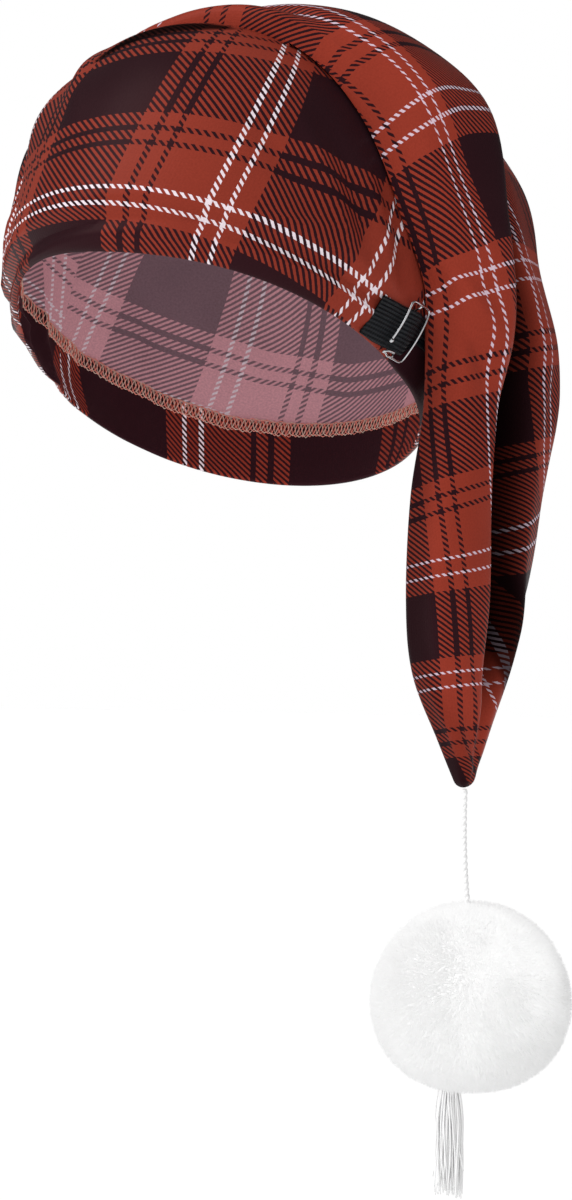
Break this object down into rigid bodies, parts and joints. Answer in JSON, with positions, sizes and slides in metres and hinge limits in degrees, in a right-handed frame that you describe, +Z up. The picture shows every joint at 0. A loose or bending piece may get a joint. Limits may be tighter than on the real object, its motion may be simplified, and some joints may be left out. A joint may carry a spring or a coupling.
{
  "type": "nightcap",
  "caption": "Close-fitting cloth nightcap with a long folded tail that hangs at one side, a fur pompom with a tassel on a cord at its tip, and an elastic strap with a slider at the rim.",
  "frame": {"origin": "centre of the head opening, where the rim goes round the head", "axes": "+Z up, -Y the way the wearer looks, +X the wearer's left, where the tail hangs"},
  "size_m": [0.2341, 0.198, 0.4773],
  "materials": {
    "tartan_cloth": "printed stretch jersey with a soft satin sheen, paler on its wrong side",
    "elastic": "ribbed woven elastic, matt",
    "steel": "bright plated wire",
    "white_fur": "short dense plush fur",
    "white_thread": "smooth twisted thread"
  },
  "bodies": {
    "root": {"cap": "tartan_cloth", "strap": "elastic", "slider": "steel", "cord": "white_thread", "pompom": "white_fur", "tassel": "white_thread"}
  },
  "joints": []
}
